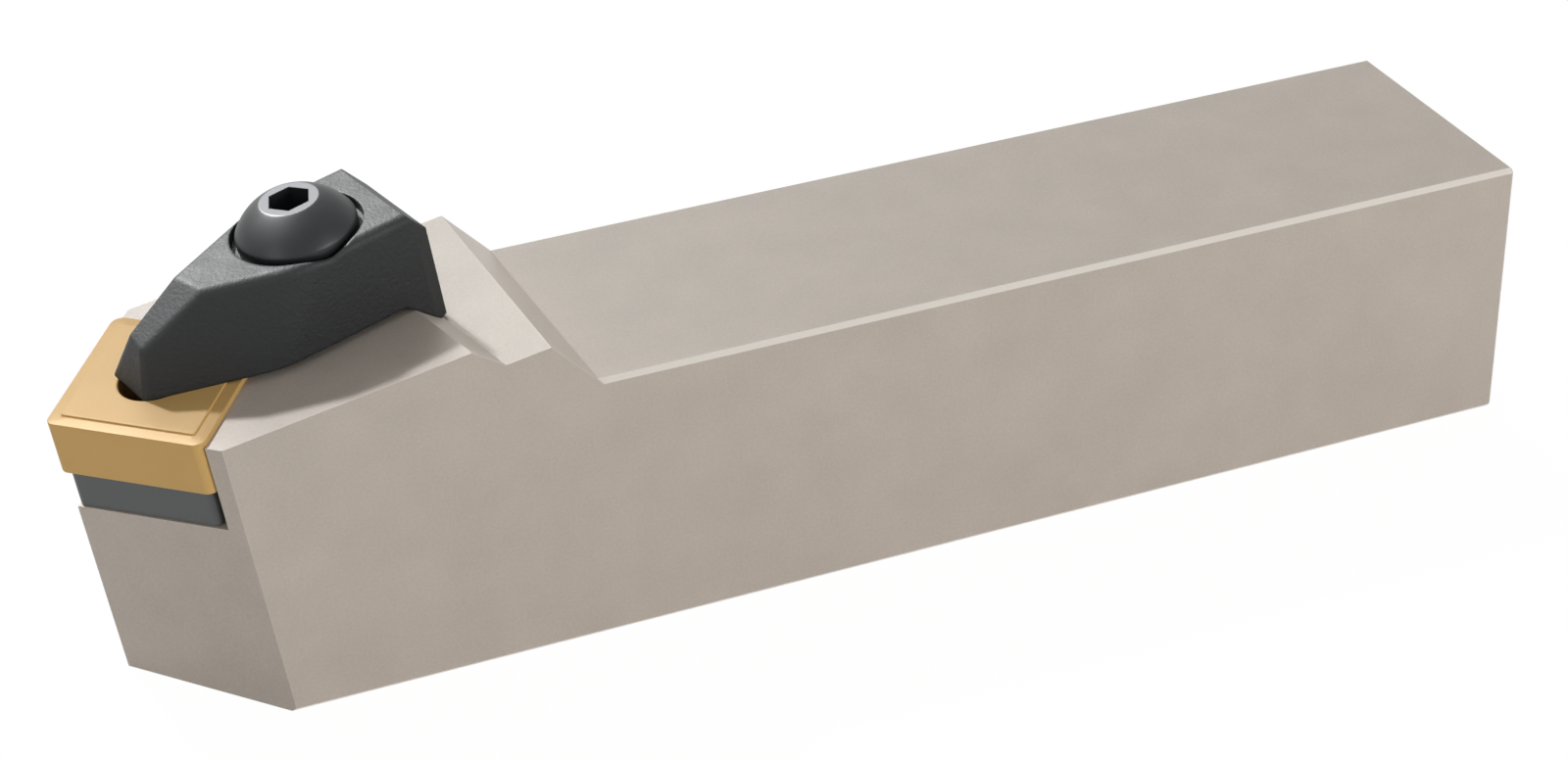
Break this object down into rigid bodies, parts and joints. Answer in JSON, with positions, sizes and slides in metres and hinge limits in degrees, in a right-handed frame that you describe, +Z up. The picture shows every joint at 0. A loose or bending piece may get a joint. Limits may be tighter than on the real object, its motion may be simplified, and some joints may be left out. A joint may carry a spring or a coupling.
{
  "type": "turning tool holder",
  "caption": "Square-shank turning tool holder with a neutral nose: a finger clamp presses a rhombic insert into a tilted pocket and pulls it back.",
  "frame": {"origin": "middle of the tool's length and width, on the shank's bottom face", "axes": "+X towards the tail, -X towards the cutting nose, +Z up, -Y towards the right of someone who faces the nose"},
  "size_m": [0.1324, 0.025, 0.0407],
  "materials": {
    "holder_steel": "satin nickel-plated milled steel with a fine matte grain",
    "insert_gold": "matte gold coating on sintered carbide",
    "shim_carbide": "dark grey ground carbide, matte",
    "clamp_black": "black oxide on forged steel, satin with a fine cast grain",
    "screw_black": "black oxide on turned steel, satin",
    "screw_steel": "black oxide on turned steel, satin",
    "spring_steel": "bright drawn spring wire"
  },
  "bodies": {
    "holder": {"holder_body": "holder_steel", "shim": "shim_carbide", "shim_screw": "screw_steel", "insert": "insert_gold", "lift_spring": "spring_steel"},
    "finger": {"clamp": "clamp_black"},
    "screw": {"clamp_screw": "screw_black"}
  },
  "joints": [
    {"name": "clamp_lift", "type": "slide", "parent": "holder", "child": "finger", "axis": [-0.1736, 0, 0.9848], "range_m": [0, 0.0024], "deforming": ["lift_spring"]},
    {"name": "screw_turn", "type": "hinge", "parent": "finger", "child": "screw", "pos_m": [-0.04251, 0.00085, 0.02888], "axis": [-0.1736, 0, 0.9848], "range_deg": [0, 1080]}
  ],
  "couplings": [
    {"joint": "screw_turn", "follows": "clamp_lift", "rad_per_m": 7854}
  ]
}
